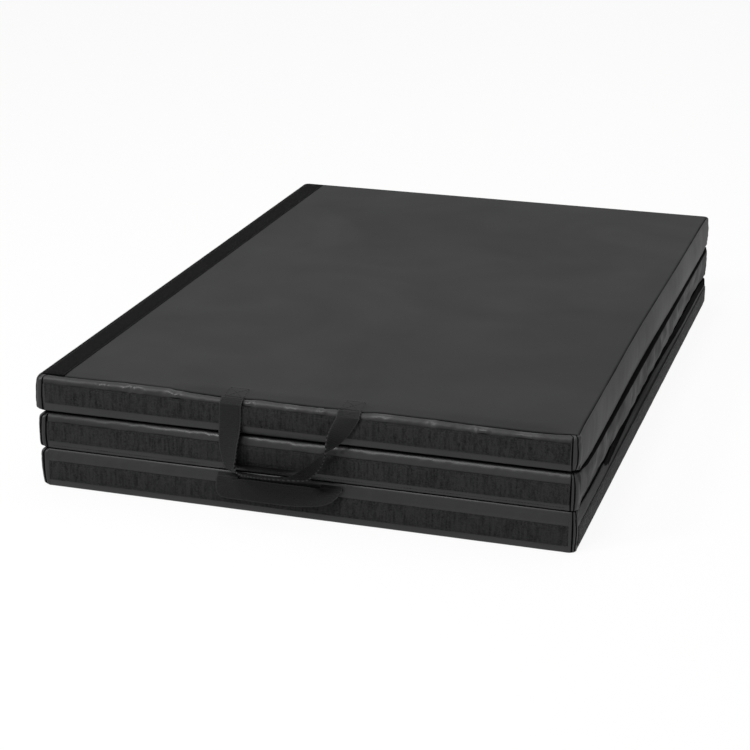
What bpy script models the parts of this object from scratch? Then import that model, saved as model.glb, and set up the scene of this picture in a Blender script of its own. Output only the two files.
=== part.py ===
# Folding exercise mat: three foam panels in vinyl covers, folded like a Z,
# joined by two sewn hinge webs, with hook-and-loop strips and two webbing handles.
# Metres, +Z up. The origin is the middle of the footprint, on the floor.
# X runs along the front, Y goes from the front to the back.
import math

import bmesh
import bpy
from mathutils import Matrix, Vector

MM = 0.001

# driving dimensions of the panels
PANEL_LENGTH = 600 * MM  # along X, between the end walls
PANEL_WIDTH = 900 * MM  # along Y, between the long walls
PANEL_THICKNESS = 41.5 * MM
PANEL_GAP = 2.25 * MM  # between two panels of the folded stack
TOP_END_EXTRA = 3 * MM  # the top panel's free end reaches past the other two

# vinyl cover
VINYL = 0.8 * MM
SEAT = 0.3 * MM  # gap kept between pieces that touch
FACET_ROOM = 0.1 * MM  # more room inside round corners, which are made of flats
EDGE_RADIUS = 3 * MM  # rolled edge of a wall
CORNER_RADIUS = 9 * MM  # upright corner, seen from above
CROWN = 1.2 * MM  # how far a wall swells between its two rolled edges
SEAM_INSET = CROWN + EDGE_RADIUS  # the skin's seam, in from the wall's face

# hook-and-loop strips
STRIP_HEIGHT = 22 * MM
STRIP_THICKNESS = 1.4 * MM
STRIP_LENGTH = 582 * MM
STRIP_EDGE = 0.3 * MM  # worn edge of a strip
STRIP_RISE = {"bottom": -1.2 * MM, "middle": 0.9 * MM, "top": 1.2 * MM}  # off the wall's middle
END_STRIP_WIDTH = 25 * MM
END_STRIP_LENGTH = 884 * MM
END_STRIP_INSET = 6 * MM  # from the panel's end to the strip's edge
END_WALL_RISE = -3 * MM  # the strip on the bottom panel's free end, off the middle

# hinge webs
HINGE_OUT = 1.5 * MM  # the axis lies this far past the end walls
LEAF_THICKNESS = 0.6 * MM
LEAF_OVERLAP = 15 * MM  # how far a leaf reaches onto its panel
LEAF_LENGTH = 876 * MM

# webbing
WEB_THICKNESS = 1.4 * MM
TAB_LENGTH = 34 * MM  # sewn end under the skin
TAB_ROOM = 0.1 * MM  # between the sewn end and the skin, past the seat
TAB_BEND = 0.6 * MM  # from the notch to where the sewn end starts to rise
TAB_LIP = 0.2 * MM  # how far past the seam it comes out
NOTCH_WIDTH = 28 * MM  # opening of the seam for a strap
NOTCH_DEPTH = 5 * MM
NOTCH_REACH = 2 * MM  # of the opening, past the seam
POCKET_REACH = 8 * MM  # of the hollow in the foam, past the seam
POCKET_DEPTH = 3.3 * MM  # of that hollow, below the panel's face
POCKET_ROOM = 1 * MM  # behind the sewn end
CUT_OVER = 3 * MM  # how far the cutters stand out

CROWN_LEVELS = (0.25, 0.5, 0.75)  # where the swelling wall has a ring of points
ROLL_STEPS = 3  # flats in a rolled edge
CORNER_STEPS = 4  # flats in an upright corner
JOIN_REACH = 0.02 * MM  # points closer than this are one

PANELS = ("bottom", "middle", "top")
HALF_X = PANEL_LENGTH / 2
HALF_Y = PANEL_WIDTH / 2

# A strap is a row of rungs from one selvedge to the other. Each selvedge point is
# (x, distance in front of the front wall, height), in millimetres.
# Each handle swings about a line along the outer face of its sewn ends.
TOP_HANDLE_AXIS = (-12.0, 3.5, 121.1)
BOTTOM_HANDLE_AXIS = (-24.0, 3.6, 38.7)
# The top handle hangs as a U whose run turns its inner face up.
TOP_HANDLE_RUNGS = (
    ((-88.0, 2.7, 120.9), (-63.2, 2.7, 120.9)),
    ((-88.3, 2.9, 105.0), (-63.5, 3.2, 105.0)),
    ((-88.7, 3.2, 90.0), (-64.2, 6.0, 90.5)),
    ((-88.5, 3.2, 76.0), (-65.2, 11.0, 77.8)),
    ((-85.9, 3.3, 62.0), (-65.0, 16.0, 67.5)),
    ((-82.4, 3.5, 52.0), (-64.8, 21.0, 58.8)),
    ((-74.2, 3.6, 46.6), (-60.4, 24.5, 53.9)),
    ((-57.8, 3.6, 45.6), (-50.0, 26.3, 52.8)),
    ((-39.0, 3.6, 45.6), (-36.1, 27.2, 52.8)),
    ((-22.2, 3.7, 46.0), (-19.3, 27.2, 53.2)),
    ((-8.3, 3.9, 48.6), (3.0, 25.6, 54.2)),
    ((2.1, 4.5, 56.0), (17.1, 24.0, 55.8)),
    ((13.5, 5.4, 65.0), (28.6, 24.2, 67.2)),
    ((22.9, 6.2, 74.0), (35.8, 26.0, 79.2)),
    ((31.8, 5.4, 82.5), (38.0, 26.2, 90.0)),
    ((44.5, 3.8, 93.0), (37.6, 18.5, 101.0)),
    ((55.5, 3.0, 106.5), (39.6, 8.5, 111.5)),
    ((67.0, 2.7, 120.9), (41.8, 2.7, 120.9)),
)
# The bottom handle is a short grab strap, which lies flat below its own seam.
BOTTOM_HANDLE_RUNGS = (
    ((-92.4, 3.2, 38.0), (-68.4, 3.2, 38.0)),
    ((-92.9, 3.6, 33.5), (-71.3, 4.1, 37.3)),
    ((-92.8, 4.0, 27.0), (-72.6, 4.7, 37.2)),
    ((-91.8, 4.2, 20.2), (-72.6, 4.9, 37.4)),
    ((-86.5, 4.3, 16.0), (-71.0, 5.0, 38.0)),
    ((-75.0, 4.4, 15.1), (-67.0, 5.1, 39.2)),
    ((-57.2, 4.6, 15.1), (-57.2, 5.2, 40.2)),
    ((-37.6, 5.2, 15.2), (-37.6, 5.6, 40.4)),
    ((-18.0, 6.2, 15.6), (-18.0, 6.2, 40.6)),
    ((1.5, 7.4, 17.0), (0.6, 7.2, 41.2)),
    ((15.2, 8.4, 19.2), (10.3, 7.8, 41.6)),
    ((27.0, 9.0, 21.8), (17.6, 7.4, 41.0)),
    ((36.3, 8.8, 25.6), (21.5, 6.2, 40.0)),
    ((43.1, 7.4, 30.8), (23.4, 4.8, 38.9)),
    ((48.3, 3.2, 38.0), (24.2, 3.2, 38.0)),
)
# What is sewn in: the ends' two x ranges, the turns over the rolled edge in degrees, and
# the last points before the swinging strap, as (distance in front of the wall, height).
TOP_HANDLE_ENDS = ((-88.0, -63.2), (41.8, 67.0))
TOP_HANDLE_TURNS = (70, 50, 30, 10)
TOP_HANDLE_STOP = ((1.4, 124.0), (2.7, 121.3))
BOTTOM_HANDLE_ENDS = ((-92.4, -68.4), (24.2, 48.3))
BOTTOM_HANDLE_TURNS = (70,)
BOTTOM_HANDLE_STOP = ((-0.6, 41.5), (1.4, 40.4), (2.5, 39.1))


def clear_scene():
    for old in list(bpy.data.objects):
        bpy.data.objects.remove(old)


def material(name, colour, roughness):
    mat = bpy.data.materials.new(name)
    mat.use_nodes = True
    shader = mat.node_tree.nodes["Principled BSDF"]
    shader.inputs["Base Color"].default_value = (*colour, 1.0)
    shader.inputs["Roughness"].default_value = roughness
    shader.inputs["Metallic"].default_value = 0.0
    return mat


def add_object(name, bm, mat, parent=None):
    """Turns a bmesh into a named object, under its joint's empty if it moves."""
    mesh = bpy.data.meshes.new(name)
    bm.to_mesh(mesh)
    bm.free()
    mesh.materials.append(mat)
    obj = bpy.data.objects.new(name, mesh)
    bpy.context.scene.collection.objects.link(obj)
    if parent is not None:
        obj.parent = parent
        obj.matrix_parent_inverse = world_of(parent).inverted()
    return obj


def add_pivot(name, place, parent=None):
    """An empty on a joint's axis. Its own place is given in the world."""
    empty = bpy.data.objects.new(name, None)
    bpy.context.scene.collection.objects.link(empty)
    empty.parent = parent
    empty.location = Vector(place) - (world_of(parent).translation if parent else Vector())
    return empty


def world_of(obj):
    """The empties are only moved, so their places add up."""
    place = Vector()
    while obj is not None:
        place = place + obj.location
        obj = obj.parent
    return Matrix.Translation(place)


def solidify(obj, thickness, offset):
    mod = obj.modifiers.new("thickness", "SOLIDIFY")
    mod.thickness = thickness
    mod.offset = offset
    mod.use_even_offset = True


def smooth(obj, angle):
    obj.data.shade_smooth()
    obj.data.set_sharp_from_angle(angle=math.radians(angle))


def cut(obj, cutter_bm, name):
    """Takes a cutter out of an object. The cutter stays hidden in the scene."""
    mesh = bpy.data.meshes.new(name)
    cutter_bm.to_mesh(mesh)
    cutter_bm.free()
    cutter = bpy.data.objects.new(name, mesh)
    bpy.context.scene.collection.objects.link(cutter)
    cutter.hide_render = True
    cutter.display_type = "WIRE"
    mod = obj.modifiers.new(name, "BOOLEAN")
    mod.operation = "DIFFERENCE"
    mod.solver = "EXACT"
    mod.object = cutter


def boxes(corners):
    """Plain boxes, each from its lowest and highest corner."""
    bm = bmesh.new()
    for low, high in corners:
        size = Vector(high) - Vector(low)
        middle = (Vector(high) + Vector(low)) / 2
        place = Matrix.Translation(middle) @ Matrix.Diagonal((*size, 1.0))
        bmesh.ops.create_cube(bm, size=1.0, matrix=place)
    return bm


def panel_base(panel):
    return PANELS.index(panel) * (PANEL_THICKNESS + PANEL_GAP)


def panel_ends(panel):
    """The lowest and highest x of a panel's end walls."""
    return (-HALF_X - (TOP_END_EXTRA if panel == "top" else 0.0), HALF_X)


def wall_profile():
    """Outer face of a wall as (inset, height) points, from the lower seam to the upper."""
    low = []
    for i in range(ROLL_STEPS + 1):
        turn = math.radians(90 * i / ROLL_STEPS)
        low.append((SEAM_INSET - EDGE_RADIUS * math.sin(turn), EDGE_RADIUS * (1 - math.cos(turn))))
    rise = PANEL_THICKNESS - 2 * EDGE_RADIUS
    side = [(crown_inset(t), EDGE_RADIUS + rise * t) for t in CROWN_LEVELS]
    high = [(inset, PANEL_THICKNESS - z) for inset, z in reversed(low)]
    return low + side + high


def crown_inset(t):
    """Inset of the swelling wall, t from 0 at its foot to 1 at its head."""
    return CROWN * (2 * t - 1) ** 2


def outline(panel, inset, z):
    """Points round a panel, seen from above, with round corners."""
    x0, x1 = panel_ends(panel)
    radius = CORNER_RADIUS - inset
    points = []
    for cx, cy, start in (
        (x1 - CORNER_RADIUS, HALF_Y - CORNER_RADIUS, 0),
        (x0 + CORNER_RADIUS, HALF_Y - CORNER_RADIUS, 90),
        (x0 + CORNER_RADIUS, -HALF_Y + CORNER_RADIUS, 180),
        (x1 - CORNER_RADIUS, -HALF_Y + CORNER_RADIUS, 270),
    ):
        for i in range(CORNER_STEPS + 1):
            turn = math.radians(start + 90 * i / CORNER_STEPS)
            points.append(Vector((cx + radius * math.cos(turn), cy + radius * math.sin(turn), z)))
    return points


def loft(panel, levels):
    """A closed body through the outlines at (inset, z) levels, lowest first."""
    bm = bmesh.new()
    rings = []
    for inset, z in levels:
        verts = [bm.verts.new(p) for p in outline(panel, inset, z)]
        edges = [bm.edges.new((verts[i], verts[(i + 1) % len(verts)])) for i in range(len(verts))]
        rings.append((verts, edges))
    for lower, upper in zip(rings, rings[1:]):
        bmesh.ops.bridge_loops(bm, edges=lower[1] + upper[1])
    bm.faces.new(list(reversed(rings[0][0])))
    bm.faces.new(rings[-1][0])
    bmesh.ops.recalc_face_normals(bm, faces=bm.faces[:])
    return bm


def core_levels(panel):
    """Outline levels of the foam, a seat gap inside the vinyl all round."""
    gap = VINYL + SEAT + FACET_ROOM
    base = panel_base(panel)
    radius = EDGE_RADIUS - gap
    foot = []
    for degrees in (0, 45, 90):
        turn = math.radians(degrees)
        foot.append((SEAM_INSET - radius * math.sin(turn), EDGE_RADIUS - radius * math.cos(turn)))
    rise = PANEL_THICKNESS - 2 * EDGE_RADIUS
    side = [(crown_inset(t) + gap, EDGE_RADIUS + rise * t) for t in CROWN_LEVELS]
    head = [(inset, PANEL_THICKNESS - z) for inset, z in reversed(foot)]
    return [(inset, base + z) for inset, z in foot + side + head]


def make_core(panel, mat, parent):
    return add_object(f"{panel}_foam_core", loft(panel, core_levels(panel)), mat, parent)


def make_skin(panel, name, side, mat, parent):
    """A flat vinyl sheet on the panel's upper (1) or lower (-1) face."""
    base = panel_base(panel)
    low = base if side < 0 else base + PANEL_THICKNESS - VINYL
    inset = SEAM_INSET + SEAT / 2
    return add_object(name, loft(panel, [(inset, low), (inset, low + VINYL)]), mat, parent)


def make_wall(panel, side, mat, parent):
    """A boxing strip with rolled edges, which goes half way round each corner."""
    x0, x1 = panel_ends(panel)
    middle_x = (x0 + x1) / 2
    half_along = {"front": (x1 - x0) / 2, "back": (x1 - x0) / 2, "left": HALF_Y, "right": HALF_Y}[side]
    half_across = {"front": HALF_Y, "back": HALF_Y, "left": (x1 - x0) / 2, "right": (x1 - x0) / 2}[side]
    turn = {"front": 0, "right": 90, "back": 180, "left": 270}[side]
    straight = half_along - CORNER_RADIUS
    shrink = SEAT / 2
    corner_turn = math.radians(45) - shrink / (CORNER_RADIUS - SEAM_INSET)
    half_steps = CORNER_STEPS // 2
    bm = bmesh.new()
    points = wall_profile()
    points[0] = (points[0][0] - shrink, points[0][1])
    points[-1] = (points[-1][0] - shrink, points[-1][1])
    base = panel_base(panel)
    chain = [bm.verts.new((-straight, -half_across + inset, base + z)) for inset, z in points]
    start = chain + [bm.edges.new(pair) for pair in zip(chain, chain[1:])]
    ring = bmesh.ops.duplicate(bm, geom=start)["geom"]
    centre_y = -half_across + CORNER_RADIUS
    bmesh.ops.spin(bm, geom=ring, cent=(-straight, centre_y, 0), axis=(0, 0, 1), angle=-corner_turn,
                   steps=half_steps, use_duplicate=False)
    last = start
    for _ in range(2):
        edges = [g for g in last if isinstance(g, bmesh.types.BMEdge)]
        last = bmesh.ops.extrude_edge_only(bm, edges=edges)["geom"]
        moved = [g for g in last if isinstance(g, bmesh.types.BMVert)]
        bmesh.ops.translate(bm, verts=moved, vec=(straight, 0, 0))
    geom = [g for g in last if not isinstance(g, bmesh.types.BMFace)]
    bmesh.ops.spin(bm, geom=geom, cent=(straight, centre_y, 0), axis=(0, 0, 1), angle=corner_turn,
                   steps=half_steps, use_duplicate=False)
    bmesh.ops.remove_doubles(bm, verts=bm.verts[:], dist=JOIN_REACH)
    place = Matrix.Translation((middle_x, 0, 0)) @ Matrix.Rotation(math.radians(turn), 4, "Z")
    bmesh.ops.transform(bm, verts=bm.verts[:], matrix=place)
    face_outwards(bm, Vector((middle_x, 0, base + PANEL_THICKNESS / 2)))
    obj = add_object(f"{panel}_{side}_wall", bm, mat, parent)
    solidify(obj, VINYL, -1.0)
    smooth(obj, 40)
    return obj


def face_outwards(bm, middle):
    """Turns an open sheet so that its faces point away from the middle."""
    bmesh.ops.recalc_face_normals(bm, faces=bm.faces[:])
    bm.normal_update()
    score = sum(f.calc_area() * f.normal.dot(f.calc_center_median() - middle) for f in bm.faces)
    if score < 0:
        bmesh.ops.reverse_faces(bm, faces=bm.faces[:])


def make_strip(name, low, high, mat, parent):
    """A length of hook or loop tape."""
    obj = add_object(name, boxes([(low, high)]), mat, parent)
    mod = obj.modifiers.new("edges", "BEVEL")
    mod.width = STRIP_EDGE
    mod.segments = 1


def make_side_strips(panel, hook, loop, parent):
    x0, x1 = panel_ends(panel)
    middle_x = (x0 + x1) / 2
    z = panel_base(panel) + PANEL_THICKNESS / 2 + STRIP_RISE[panel]
    inner = HALF_Y + SEAT
    outer = inner + STRIP_THICKNESS
    along = STRIP_LENGTH / 2
    up = STRIP_HEIGHT / 2
    make_strip(f"{panel}_front_hook_strip", (middle_x - along, -outer, z - up),
               (middle_x + along, -inner, z + up), hook, parent)
    make_strip(f"{panel}_back_loop_strip", (middle_x - along, inner, z - up),
               (middle_x + along, outer, z + up), loop, parent)


def make_end_strips(hook, loop, top_parent):
    """Loop tape on the top panel's free end, hook tape on the bottom panel's free end."""
    half = END_STRIP_LENGTH / 2
    x = panel_ends("top")[0] + END_STRIP_INSET
    z = panel_base("top") + PANEL_THICKNESS + SEAT
    make_strip("top_end_loop_strip", (x, -half, z), (x + END_STRIP_WIDTH, half, z + STRIP_THICKNESS),
               loop, top_parent)
    middle_z = PANEL_THICKNESS / 2 + END_WALL_RISE
    x = HALF_X + SEAT
    make_strip("bottom_end_hook_strip", (x, -half, middle_z - STRIP_HEIGHT / 2),
               (x + STRIP_THICKNESS, half, middle_z + STRIP_HEIGHT / 2), hook, None)


def make_hinge(name, side, lower_panel, mat, lower_parent, upper_parent):
    """Two leaves of one sewn web, which meet on the fold line at the stack's side."""
    axis_x = side * (HALF_X + HINGE_OUT)
    inner_x = side * (HALF_X - LEAF_OVERLAP)
    end_x = axis_x - side * SEAT / 2
    seam_z = panel_base(lower_panel) + PANEL_THICKNESS
    half = LEAF_LENGTH / 2
    xs = sorted((inner_x, end_x))
    low_z = seam_z + SEAT
    high_z = seam_z + PANEL_GAP - SEAT - LEAF_THICKNESS
    make_leaf(f"{name}_lower_leaf", xs, half, low_z, mat, lower_parent)
    make_leaf(f"{name}_upper_leaf", xs, half, high_z, mat, upper_parent)


def make_leaf(name, xs, half, z, mat, parent):
    low = (xs[0], -half, z)
    high = (xs[1], half, z + LEAF_THICKNESS)
    add_object(name, boxes([(low, high)]), mat, parent)


def smooth_route(points, steps):
    """Points on a smooth curve through the given ones."""
    route = []
    last = len(points) - 1
    for i in range(last):
        before = points[max(i - 1, 0)]
        after = points[min(i + 2, last)]
        a = points[i]
        b = points[i + 1]
        for k in range(steps):
            t = k / steps
            route.append(
                0.5 * (2 * a + (b - before) * t + (2 * before - 5 * a + 4 * b - after) * t * t
                       + (3 * a - before - 3 * b + after) * t ** 3)
            )
    route.append(points[last])
    return route


def front_point(x, out, z):
    """A point a distance in front of the front wall, from millimetres."""
    return Vector((x * MM, -HALF_Y - out * MM, z * MM))


def ribbon(name, first_edge, second_edge, mat, parent):
    """A flat strap between two selvedges, with a line down its middle."""
    bm = bmesh.new()
    rows = []
    for a, b in zip(first_edge, second_edge):
        rows.append([bm.verts.new(a), bm.verts.new((a + b) / 2), bm.verts.new(b)])
    for near, far in zip(rows, rows[1:]):
        for i in range(2):
            bm.faces.new((near[i], near[i + 1], far[i + 1], far[i]))
    obj = add_object(name, bm, mat, parent)
    solidify(obj, WEB_THICKNESS, 0.0)
    smooth(obj, 50)
    return obj


def make_strap(name, rungs, mat, parent):
    first = smooth_route([front_point(*a) for a, _ in rungs], 2)
    second = smooth_route([front_point(*b) for _, b in rungs], 2)
    return ribbon(name, first, second, mat, parent)


def make_strap_end(name, ends, panel, turns, stop, mat, parent):
    """The sewn end of a strap: flat under the skin, out at the seam, over the rolled edge."""
    top = panel_base(panel) + PANEL_THICKNESS
    under = top - VINYL - SEAT - TAB_ROOM - WEB_THICKNESS / 2
    over = top + SEAT + WEB_THICKNESS / 2
    seam_y = -HALF_Y + SEAM_INSET
    wrap = EDGE_RADIUS + SEAT + WEB_THICKNESS / 2
    bend_y = seam_y + NOTCH_DEPTH + TAB_BEND
    path = [(seam_y + NOTCH_DEPTH + TAB_LENGTH, under), (bend_y, under), (seam_y - TAB_LIP, over)]
    for degrees in turns:
        turn = math.radians(degrees)
        path.append((seam_y - wrap * math.cos(turn), top - EDGE_RADIUS + wrap * math.sin(turn)))
    for out, z in stop:
        path.append((-HALF_Y - out * MM, z * MM))
    selvedges = [[Vector((x * MM, y, z)) for y, z in path] for x in ends]
    return ribbon(name, selvedges[0], selvedges[1], mat, parent)


def notch_panel(panel, skin, core, places):
    """Opens the skin's front edge for the straps and hollows the foam for their ends."""
    top = panel_base(panel) + PANEL_THICKNESS
    seam_y = -HALF_Y + SEAM_INSET
    tab_start = seam_y + NOTCH_DEPTH
    notches = []
    pockets = []
    for ends in places:
        middle = sum(ends) / 2 * MM
        x0 = middle - NOTCH_WIDTH / 2
        x1 = middle + NOTCH_WIDTH / 2
        notches.append(((x0, seam_y - NOTCH_REACH, top - CUT_OVER),
                        (x1, tab_start + TAB_BEND, top + CUT_OVER)))
        pockets.append(((x0, seam_y - POCKET_REACH, top - POCKET_DEPTH),
                        (x1, tab_start + TAB_LENGTH + POCKET_ROOM, top + CUT_OVER)))
    cut(skin, boxes(notches), f"{panel}_strap_notches")
    cut(core, boxes(pockets), f"{panel}_strap_pockets")


def build():
    clear_scene()
    vinyl = material("matt_black_vinyl", (0.030, 0.030, 0.031), 0.5)
    wall_vinyl = material("satin_black_vinyl", (0.026, 0.026, 0.027), 0.35)
    foam = material("grey_foam", (0.10, 0.10, 0.11), 0.9)
    hook = material("black_hook_tape", (0.012, 0.012, 0.013), 0.8)
    loop = material("black_loop_tape", (0.010, 0.010, 0.010), 0.95)
    webbing = material("black_webbing", (0.011, 0.011, 0.012), 0.75)
    web = material("black_hinge_web", (0.028, 0.028, 0.029), 0.45)

    fold_z = PANEL_THICKNESS + PANEL_GAP / 2
    step = PANEL_THICKNESS + PANEL_GAP
    left_axis = add_pivot("left_hinge_axis", (-HALF_X - HINGE_OUT, 0, fold_z))
    right_axis = add_pivot("right_hinge_axis", (HALF_X + HINGE_OUT, 0, fold_z + step), left_axis)
    top_swing = add_pivot("top_handle_axis", front_point(*TOP_HANDLE_AXIS), right_axis)
    bottom_swing = add_pivot("bottom_handle_axis", front_point(*BOTTOM_HANDLE_AXIS))
    parents = {"bottom": None, "middle": left_axis, "top": right_axis}

    # the middle panel lies upside down, so its play side faces the bottom panel
    sides = {"bottom": (1, -1), "middle": (-1, 1), "top": (1, -1)}
    skins = {}
    cores = {}
    for panel in PANELS:
        parent = parents[panel]
        play, underside = sides[panel]
        cores[panel] = make_core(panel, foam, parent)
        skins[panel] = make_skin(panel, f"{panel}_play_skin", play, vinyl, parent)
        make_skin(panel, f"{panel}_underside_skin", underside, vinyl, parent)
        for side in ("front", "back", "left", "right"):
            make_wall(panel, side, wall_vinyl, parent)
        make_side_strips(panel, hook, loop, parent)

    make_end_strips(hook, loop, parents["top"])
    make_hinge("left_hinge", -1, "bottom", web, None, left_axis)
    make_hinge("right_hinge", 1, "middle", web, left_axis, right_axis)

    # handles: the moving strap, and its two ends sewn into the seam
    make_strap("top_handle_strap", TOP_HANDLE_RUNGS, webbing, top_swing)
    make_strap("bottom_handle_strap", BOTTOM_HANDLE_RUNGS, webbing, bottom_swing)
    for name, places, panel, turns, stop in (
        ("top_handle", TOP_HANDLE_ENDS, "top", TOP_HANDLE_TURNS, TOP_HANDLE_STOP),
        ("bottom_handle", BOTTOM_HANDLE_ENDS, "bottom", BOTTOM_HANDLE_TURNS, BOTTOM_HANDLE_STOP),
    ):
        for side, ends in zip(("left", "right"), places):
            make_strap_end(f"{name}_{side}_end", ends, panel, turns, stop, webbing, parents[panel])
        notch_panel(panel, skins[panel], cores[panel], places)


build()
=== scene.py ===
import math
import random

import bmesh
import bpy
from mathutils import Matrix, Vector, noise


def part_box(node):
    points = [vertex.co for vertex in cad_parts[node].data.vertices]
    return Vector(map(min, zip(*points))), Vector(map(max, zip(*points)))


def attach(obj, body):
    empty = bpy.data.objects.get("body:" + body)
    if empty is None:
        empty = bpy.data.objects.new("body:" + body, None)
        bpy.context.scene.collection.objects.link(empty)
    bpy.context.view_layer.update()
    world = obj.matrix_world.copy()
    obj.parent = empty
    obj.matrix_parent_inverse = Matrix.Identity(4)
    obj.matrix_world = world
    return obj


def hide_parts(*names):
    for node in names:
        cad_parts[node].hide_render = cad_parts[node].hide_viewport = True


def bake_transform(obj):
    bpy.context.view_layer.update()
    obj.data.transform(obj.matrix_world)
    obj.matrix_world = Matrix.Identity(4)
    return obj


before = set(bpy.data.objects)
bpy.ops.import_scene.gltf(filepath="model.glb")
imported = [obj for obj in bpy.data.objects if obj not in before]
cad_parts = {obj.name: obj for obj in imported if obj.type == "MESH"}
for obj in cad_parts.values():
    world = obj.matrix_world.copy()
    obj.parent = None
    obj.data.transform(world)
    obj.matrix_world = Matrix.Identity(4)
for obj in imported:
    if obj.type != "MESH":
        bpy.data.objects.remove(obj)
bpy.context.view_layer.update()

mm = 0.001
panels = ("bottom", "middle", "top")
sides = ("front", "right", "back", "left")
halfWide, halfDeep, stackHigh, foldX = 0.30, 0.45, 0.129, 0.3015  # of the even stack
scene = bpy.context.scene
stitchRandom = random.Random(11)
print("frame loaded")


# helpers

def newPiece(name, bm, body, mats, replaced=(), smooth=True):
    mesh = bpy.data.meshes.new(name)
    bm.to_mesh(mesh)
    bm.free()
    for mat in mats:
        mesh.materials.append(mat)
    obj = bpy.data.objects.new(name, mesh)
    scene.collection.objects.link(obj)
    if smooth:
        mesh.shade_smooth()
    if body:
        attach(obj, body)
    if replaced:
        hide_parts(*replaced)
    return obj


def addModifier(obj, name, kind, **settings):
    mod = obj.modifiers.new(name, kind)
    for key, value in settings.items():
        setattr(mod, key, value)


def newGrid(columns, rows):
    # a flat grid from -1 to 1, to be bent to its place
    bm = bmesh.new()
    bmesh.ops.create_grid(bm, x_segments=columns, y_segments=rows, size=1.0)
    return bm


def faceOut(bm):
    bmesh.ops.recalc_face_normals(bm, faces=bm.faces[:])


def clamp(x, low, high):
    return max(low, min(high, x))


def ease(x):
    x = clamp(x, 0.0, 1.0)
    return x * x * (3 - 2 * x)


def fade(x, start, reach):
    # 1 up to start, 0 from start + reach on
    return 1 - ease((x - start) / reach)


def ripple(x, y, z, size):
    # smooth noise from -1 to 1, with bumps about size metres apart
    return noise.noise(Vector((x, y, z)) / size)


# node groups that several finishes share

def newGroup(name, inputs, outputs):
    group = bpy.data.node_groups.new(name, "ShaderNodeTree")
    group.interface.new_socket("Vector", in_out="INPUT", socket_type="NodeSocketVector")
    for label, value in inputs.items():
        group.interface.new_socket(label, in_out="INPUT", socket_type="NodeSocketFloat").default_value = value
    for label in outputs:
        group.interface.new_socket(label, in_out="OUTPUT", socket_type="NodeSocketFloat")
    return group, group.nodes.new("NodeGroupInput").outputs, group.nodes.new("NodeGroupOutput").inputs


def addNode(tree, kind, **settings):
    node = tree.nodes.new("ShaderNode" + kind)
    for key, value in settings.items():
        if key in node.inputs:
            node.inputs[key].default_value = value
        else:
            setattr(node, key, value)
    return node


def link(a, b):
    b.id_data.links.new(a, b)


def calc(operation, *values):
    tree = next(value.id_data for value in values if hasattr(value, "id_data"))
    node = addNode(tree, "Math", operation=operation)
    for socket, value in zip(node.inputs, values):
        if isinstance(value, (int, float)):
            socket.default_value = value
        else:
            link(value, socket)
    return node.outputs[0]


def makeGrainGroup():
    # leather-like grain of coated fabric: small cells, fine pores and slow mottling
    group, start, end = newGroup("leatherGrain", {"Cell Scale": 900.0, "Mottle Scale": 14.0},
                                 ("Height", "Mottle", "Smudge"))
    cells = addNode(group, "TexVoronoi", feature="SMOOTH_F1")
    pores = addNode(group, "TexNoise", Detail=3.0, Roughness=0.6)
    mottle = addNode(group, "TexNoise", Detail=4.0, Roughness=0.55)
    smudge = addNode(group, "TexNoise", Detail=2.0, Roughness=0.5, Distortion=1.2)
    for node in (cells, pores, mottle, smudge):
        link(start["Vector"], node.inputs["Vector"])
    link(start["Cell Scale"], cells.inputs["Scale"])
    link(calc("MULTIPLY", start["Cell Scale"], 2.3), pores.inputs["Scale"])
    link(start["Mottle Scale"], mottle.inputs["Scale"])
    link(calc("MULTIPLY", start["Mottle Scale"], 0.35), smudge.inputs["Scale"])
    height = calc("ADD", cells.outputs["Distance"], calc("MULTIPLY", pores.outputs["Fac"], 0.35))
    link(height, end["Height"])
    link(mottle.outputs["Fac"], end["Mottle"])
    link(smudge.outputs["Fac"], end["Smudge"])
    return group


def makeWeaveGroup():
    # woven webbing: short bricks of yarn in rows, with a ridge on every other row
    group, start, end = newGroup("webWeave", {"Yarn Length": 5.0, "Yarn Width": 2.2}, ("Height", "Shade"))
    inMm = addNode(group, "Mapping", Scale=(1000.0, 1000.0, 1000.0))
    bricks = addNode(group, "TexBrick", offset=0.5, offset_frequency=2)
    for label, value in (("Scale", 1.0), ("Mortar Size", 0.12), ("Mortar Smooth", 1.0), ("Bias", 0.0)):
        bricks.inputs[label].default_value = value
    bricks.inputs["Color1"].default_value = (0.75, 0.75, 0.75, 1)
    bricks.inputs["Color2"].default_value = (1, 1, 1, 1)
    bricks.inputs["Mortar"].default_value = (0.12, 0.12, 0.12, 1)
    fuzz = addNode(group, "TexNoise", Scale=0.7, Detail=4.0, Roughness=0.75)
    link(start["Vector"], inMm.inputs["Vector"])
    for node in (bricks, fuzz):
        link(inMm.outputs["Vector"], node.inputs["Vector"])
    link(start["Yarn Length"], bricks.inputs["Brick Width"])
    link(start["Yarn Width"], bricks.inputs["Row Height"])
    yarn = calc("SUBTRACT", 1.0, bricks.outputs["Fac"])
    link(calc("ADD", yarn, calc("MULTIPLY", fuzz.outputs["Fac"], 0.5)), end["Height"])
    shade = calc("MULTIPLY", calc("ADD", yarn, 0.6), calc("ADD", fuzz.outputs["Fac"], 0.45))
    link(shade, end["Shade"])
    return group


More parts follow.
